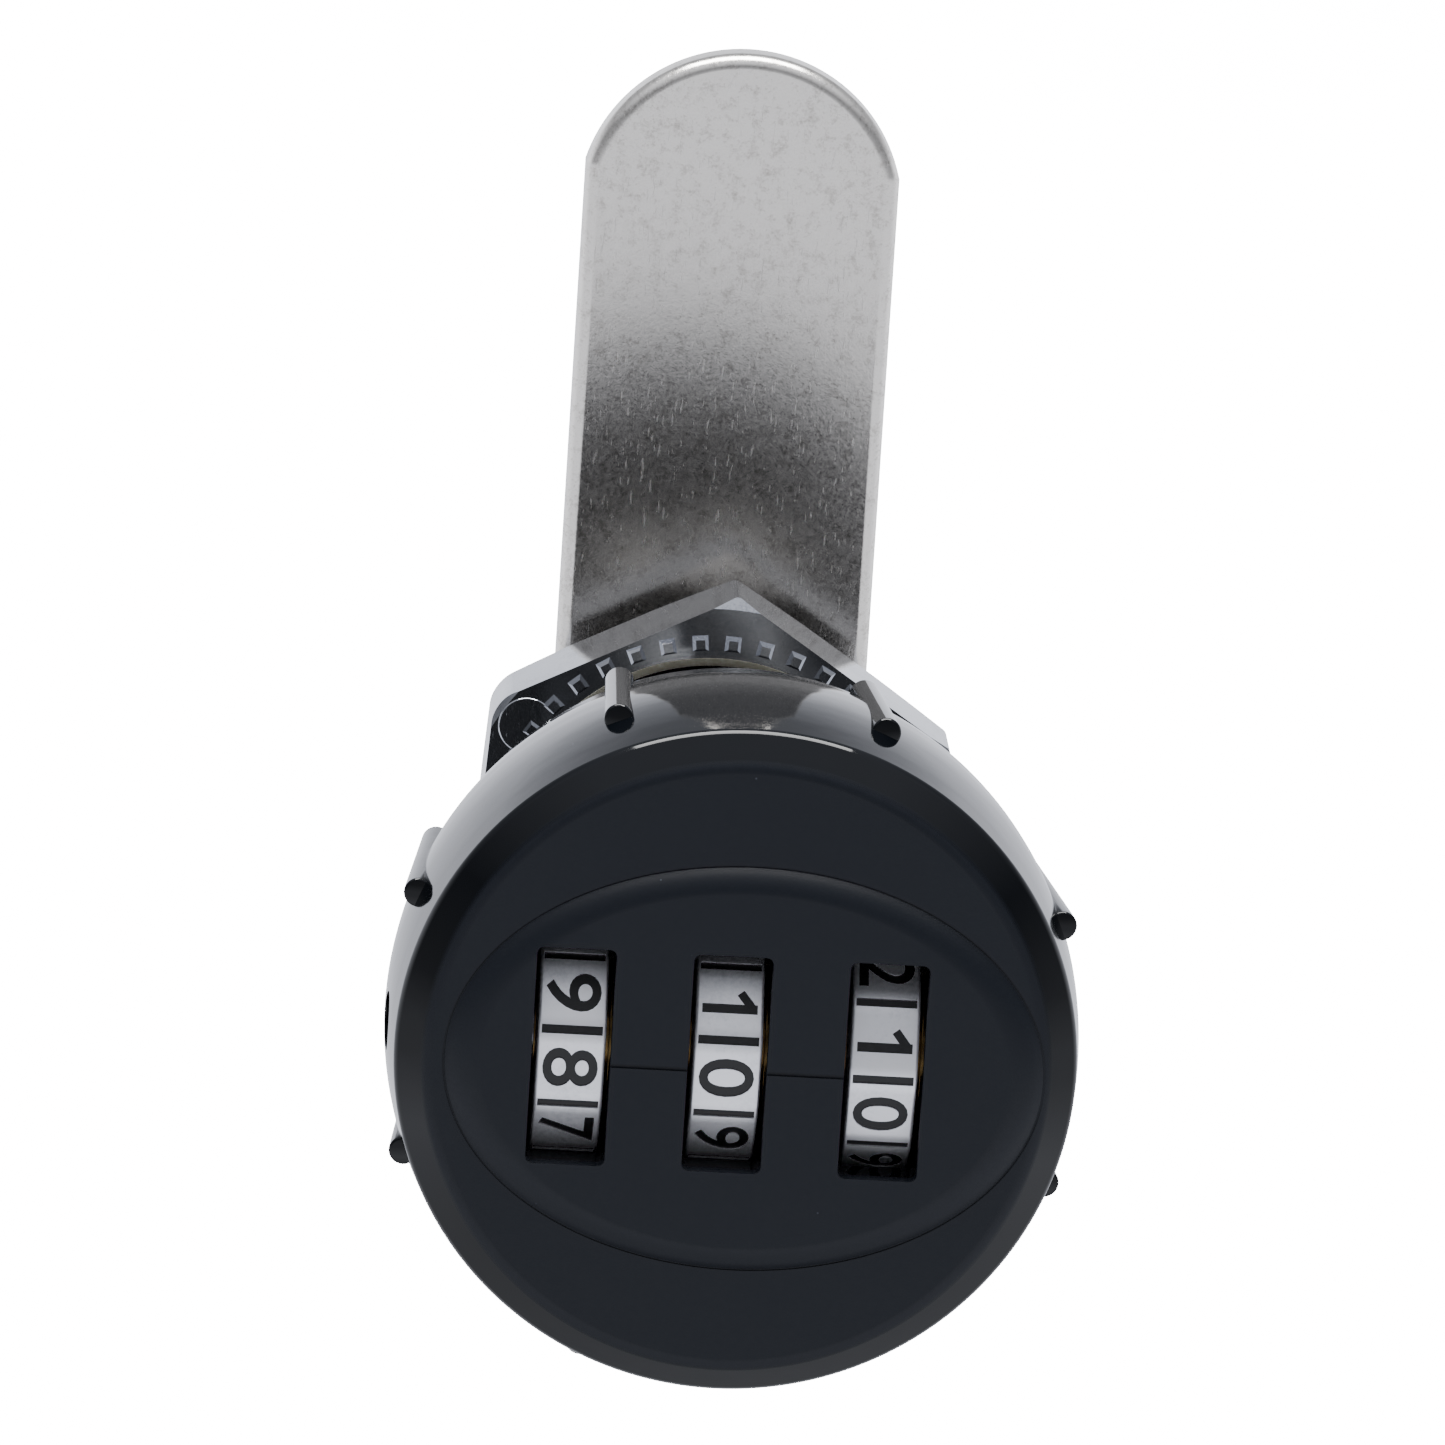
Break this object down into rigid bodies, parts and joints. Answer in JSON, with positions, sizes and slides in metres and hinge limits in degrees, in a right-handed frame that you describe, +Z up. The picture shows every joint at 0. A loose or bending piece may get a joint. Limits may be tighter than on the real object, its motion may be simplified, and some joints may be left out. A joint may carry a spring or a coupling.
{
  "type": "combination cam lock",
  "caption": "Keyless cam lock for a cabinet or mailbox: black ribbed knob with chrome number dials, threaded barrel with toothed hex nut, and a straight flat cam.",
  "frame": {"origin": "on the lock's axis, in the plane where the rear face of the barrel's flange seats on the panel", "axes": "+Y back through the panel along the barrel towards the cam, +Z up along the cam at rest, +X to the right as the dials are read"},
  "size_m": [0.0329, 0.0551, 0.0555],
  "materials": {
    "cover_lacquer": "gloss black lacquer on cast zinc, satin on the face",
    "dial_chrome": "bright chrome, digits engraved and filled black",
    "sleeve_brass": "turned",
    "die_cast_zinc": "raw cast zinc alloy",
    "steel_plate": "zinc plated",
    "screw_steel": "zinc plated",
    "shaft_steel": "ground",
    "spring_steel": "spring steel",
    "rivet_brass": "satin",
    "spindle_zinc": "turned and nickel plated",
    "washer_nylon": "natural nylon",
    "barrel_lacquer": "black lacquer on cast zinc, threaded",
    "nut_plated": "bright zinc plated, fine scratches",
    "stop_washer_steel": "zinc plated",
    "cam_nickel": "satin nickel plated steel"
  },
  "bodies": {
    "housing": {"barrel": "barrel_lacquer", "mounting_nut": "nut_plated"},
    "knob": {"knob_cover": "cover_lacquer", "dial_carrier": "die_cast_zinc", "back_plate": "steel_plate", "cover_screws": "screw_steel", "reset_spring": "spring_steel", "detent_spring": "spring_steel", "detent_rivets": "rivet_brass", "bar_springs": "spring_steel", "spindle": "spindle_zinc", "thrust_washer": "washer_nylon", "stop_washer": "stop_washer_steel", "cam": "cam_nickel", "spring_washer": "spring_steel", "cam_bolt": "screw_steel"},
    "dial_1": {"dial_ring_1": "dial_chrome"},
    "dial_2": {"dial_ring_2": "dial_chrome"},
    "dial_3": {"dial_ring_3": "dial_chrome"},
    "reset_shaft": {"dial_shaft": "shaft_steel", "shaft_clips": "shaft_steel"},
    "sleeve_1": {"gate_sleeve_1": "sleeve_brass"},
    "sleeve_2": {"gate_sleeve_2": "sleeve_brass"},
    "sleeve_3": {"gate_sleeve_3": "sleeve_brass"},
    "bar": {"locking_bar": "shaft_steel"}
  },
  "joints": [
    {"name": "knob_turn", "type": "hinge", "parent": "housing", "child": "knob", "pos_m": [0, 0, 0], "axis": [0, 1, 0], "range_deg": [0, 90]},
    {"name": "dial_1_turn", "type": "hinge", "parent": "knob", "child": "dial_1", "pos_m": [-0.00779, -0.0124, 0], "axis": [1, 0, 0], "continuous": true},
    {"name": "dial_2_turn", "type": "hinge", "parent": "knob", "child": "dial_2", "pos_m": [-0.00047, -0.0124, 0], "axis": [1, 0, 0], "continuous": true},
    {"name": "dial_3_turn", "type": "hinge", "parent": "knob", "child": "dial_3", "pos_m": [0.00685, -0.0124, 0], "axis": [1, 0, 0], "continuous": true},
    {"name": "reset_slide", "type": "slide", "parent": "knob", "child": "reset_shaft", "axis": [1, 0, 0], "range_m": [0, 0.0009], "stiffness_N_per_m": 500, "springref_m": -0.002, "deforming": ["reset_spring"]},
    {"name": "sleeve_1_turn", "type": "hinge", "parent": "reset_shaft", "child": "sleeve_1", "pos_m": [-0.00779, -0.0124, 0], "axis": [1, 0, 0], "continuous": true},
    {"name": "sleeve_2_turn", "type": "hinge", "parent": "reset_shaft", "child": "sleeve_2", "pos_m": [-0.00047, -0.0124, 0], "axis": [1, 0, 0], "continuous": true},
    {"name": "sleeve_3_turn", "type": "hinge", "parent": "reset_shaft", "child": "sleeve_3", "pos_m": [0.00685, -0.0124, 0], "axis": [1, 0, 0], "continuous": true},
    {"name": "bar_lift", "type": "slide", "parent": "knob", "child": "bar", "axis": [0, -1, 0], "range_m": [0, 0.001], "deforming": ["bar_springs"]}
  ],
  "couplings": [
    {"joint": "sleeve_1_turn", "follows": "dial_1_turn", "ratio": 1},
    {"joint": "sleeve_2_turn", "follows": "dial_2_turn", "ratio": 1},
    {"joint": "sleeve_3_turn", "follows": "dial_3_turn", "ratio": 1},
    {"joint": "bar_lift", "follows": "knob_turn", "m_per_rad": 0.00063662}
  ]
}
